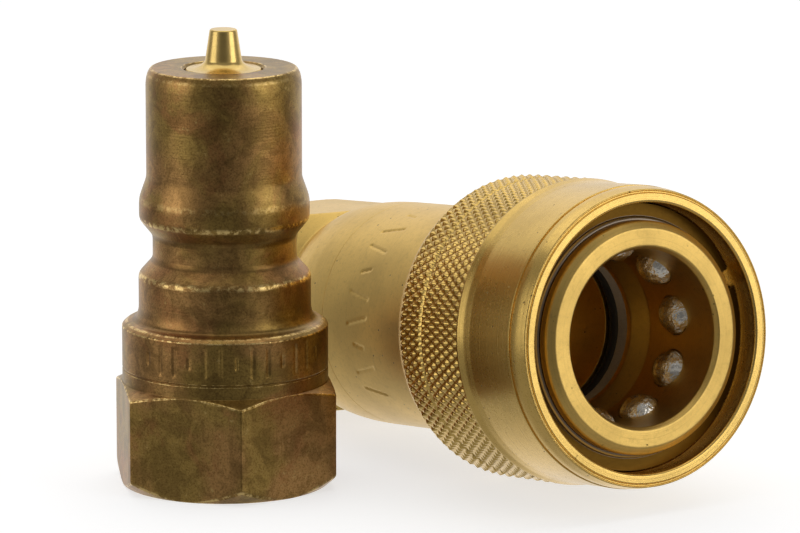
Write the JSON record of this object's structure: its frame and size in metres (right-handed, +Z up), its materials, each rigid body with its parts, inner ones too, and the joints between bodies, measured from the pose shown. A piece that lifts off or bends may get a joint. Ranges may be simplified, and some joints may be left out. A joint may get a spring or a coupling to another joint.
{
  "type": "quick disconnect coupler",
  "caption": "Quick disconnect coupler in two halves: a ball-lock socket with a knurled sliding sleeve, and a plug nipple. Both have a spring poppet valve, a hexagon and a pipe port.",
  "frame": {"origin": "centre of the nipple's base, where its pipe port opens on the surface it stands on", "axes": "+Z up along the nipple's axis towards its nose; the coupler lies beside it at +X, with its axis in a plane of constant X and its mouth towards -Y, tilted up by 6.35 degrees"},
  "size_m": [0.0494, 0.061, 0.042],
  "materials": {
    "sleeve_brass": "satin turned, knurled",
    "barrel_brass": "satin turned",
    "valve_brass": "bright turned",
    "aged_brass": "dark mottled patina",
    "ball_steel": "polished",
    "snap_ring_steel": "drawn wire",
    "spring_steel": "drawn wire",
    "seal_rubber": "matte",
    "backup_plastic": "matte"
  },
  "bodies": {
    "coupler": {"coupler_body": "barrel_brass", "coupler_adapter": "barrel_brass", "adapter_seal": "seal_rubber", "sleeve_spring": "spring_steel", "sleeve_stop_ring": "snap_ring_steel", "nose_seal": "seal_rubber", "backup_ring": "backup_plastic", "coupler_poppet_spring": "spring_steel", "coupler_valve_guide": "valve_brass", "coupler_guide_ring": "spring_steel"},
    "sleeve": {"sleeve": "sleeve_brass"},
    "coupler_poppet": {"coupler_poppet": "valve_brass", "coupler_poppet_seal": "seal_rubber"},
    "nipple": {"nipple_body": "aged_brass", "nipple_poppet_spring": "spring_steel", "nipple_valve_guide": "valve_brass", "nipple_guide_ring": "spring_steel"},
    "nipple_poppet": {"nipple_poppet": "valve_brass", "nipple_poppet_seal": "seal_rubber"},
    "ball_1": {"ball_1": "ball_steel"},
    "ball_2": {"ball_2": "ball_steel"},
    "ball_3": {"ball_3": "ball_steel"},
    "ball_4": {"ball_4": "ball_steel"},
    "ball_5": {"ball_5": "ball_steel"},
    "ball_6": {"ball_6": "ball_steel"},
    "ball_7": {"ball_7": "ball_steel"},
    "ball_8": {"ball_8": "ball_steel"},
    "ball_9": {"ball_9": "ball_steel"},
    "ball_10": {"ball_10": "ball_steel"}
  },
  "joints": [
    {"name": "sleeve_slide", "type": "slide", "parent": "coupler", "child": "sleeve", "axis": [0, 0.9939, -0.1106], "range_m": [0, 0.004], "stiffness_N_per_m": 2000, "springref_m": -0.006, "deforming": ["sleeve_spring"]},
    {"name": "coupler_poppet_slide", "type": "slide", "parent": "coupler", "child": "coupler_poppet", "axis": [0, 0.9939, -0.1106], "range_m": [0, 0.0022], "stiffness_N_per_m": 350, "springref_m": -0.006, "deforming": ["coupler_poppet_spring"]},
    {"name": "nipple_lift", "type": "slide", "parent": "coupler", "child": "nipple", "axis": [0, 0, 1], "range_m": [0, 0.05]},
    {"name": "nipple_poppet_slide", "type": "slide", "parent": "nipple", "child": "nipple_poppet", "axis": [0, 0, -1], "range_m": [0, 0.0022], "stiffness_N_per_m": 350, "springref_m": -0.006, "deforming": ["nipple_poppet_spring"]},
    {"name": "ball_1_slide", "type": "slide", "parent": "coupler", "child": "ball_1", "axis": [0.9945, 0.0116, 0.1039], "range_m": [0, 0.00125]},
    {"name": "ball_2_slide", "type": "slide", "parent": "coupler", "child": "ball_2", "axis": [0.7431, 0.074, 0.665], "range_m": [0, 0.00125]},
    {"name": "ball_3_slide", "type": "slide", "parent": "coupler", "child": "ball_3", "axis": [0.2079, 0.1082, 0.9721], "range_m": [0, 0.00125]},
    {"name": "ball_4_slide", "type": "slide", "parent": "coupler", "child": "ball_4", "axis": [-0.4067, 0.1011, 0.9079], "range_m": [0, 0.00125]},
    {"name": "ball_5_slide", "type": "slide", "parent": "coupler", "child": "ball_5", "axis": [-0.866, 0.0553, 0.4969], "range_m": [0, 0.00125]},
    {"name": "ball_6_slide", "type": "slide", "parent": "coupler", "child": "ball_6", "axis": [-0.9945, -0.0116, -0.1039], "range_m": [0, 0.00125]},
    {"name": "ball_7_slide", "type": "slide", "parent": "coupler", "child": "ball_7", "axis": [-0.7431, -0.074, -0.665], "range_m": [0, 0.00125]},
    {"name": "ball_8_slide", "type": "slide", "parent": "coupler", "child": "ball_8", "axis": [-0.2079, -0.1082, -0.9721], "range_m": [0, 0.00125]},
    {"name": "ball_9_slide", "type": "slide", "parent": "coupler", "child": "ball_9", "axis": [0.4067, -0.1011, -0.9079], "range_m": [0, 0.00125]},
    {"name": "ball_10_slide", "type": "slide", "parent": "coupler", "child": "ball_10", "axis": [0.866, -0.0553, -0.4969], "range_m": [0, 0.00125]}
  ],
  "couplings": [
    {"joint": "ball_1_slide", "follows": "sleeve_slide", "ratio": 0.3125},
    {"joint": "ball_2_slide", "follows": "sleeve_slide", "ratio": 0.3125},
    {"joint": "ball_3_slide", "follows": "sleeve_slide", "ratio": 0.3125},
    {"joint": "ball_4_slide", "follows": "sleeve_slide", "ratio": 0.3125},
    {"joint": "ball_5_slide", "follows": "sleeve_slide", "ratio": 0.3125},
    {"joint": "ball_6_slide", "follows": "sleeve_slide", "ratio": 0.3125},
    {"joint": "ball_7_slide", "follows": "sleeve_slide", "ratio": 0.3125},
    {"joint": "ball_8_slide", "follows": "sleeve_slide", "ratio": 0.3125},
    {"joint": "ball_9_slide", "follows": "sleeve_slide", "ratio": 0.3125},
    {"joint": "ball_10_slide", "follows": "sleeve_slide", "ratio": 0.3125}
  ]
}
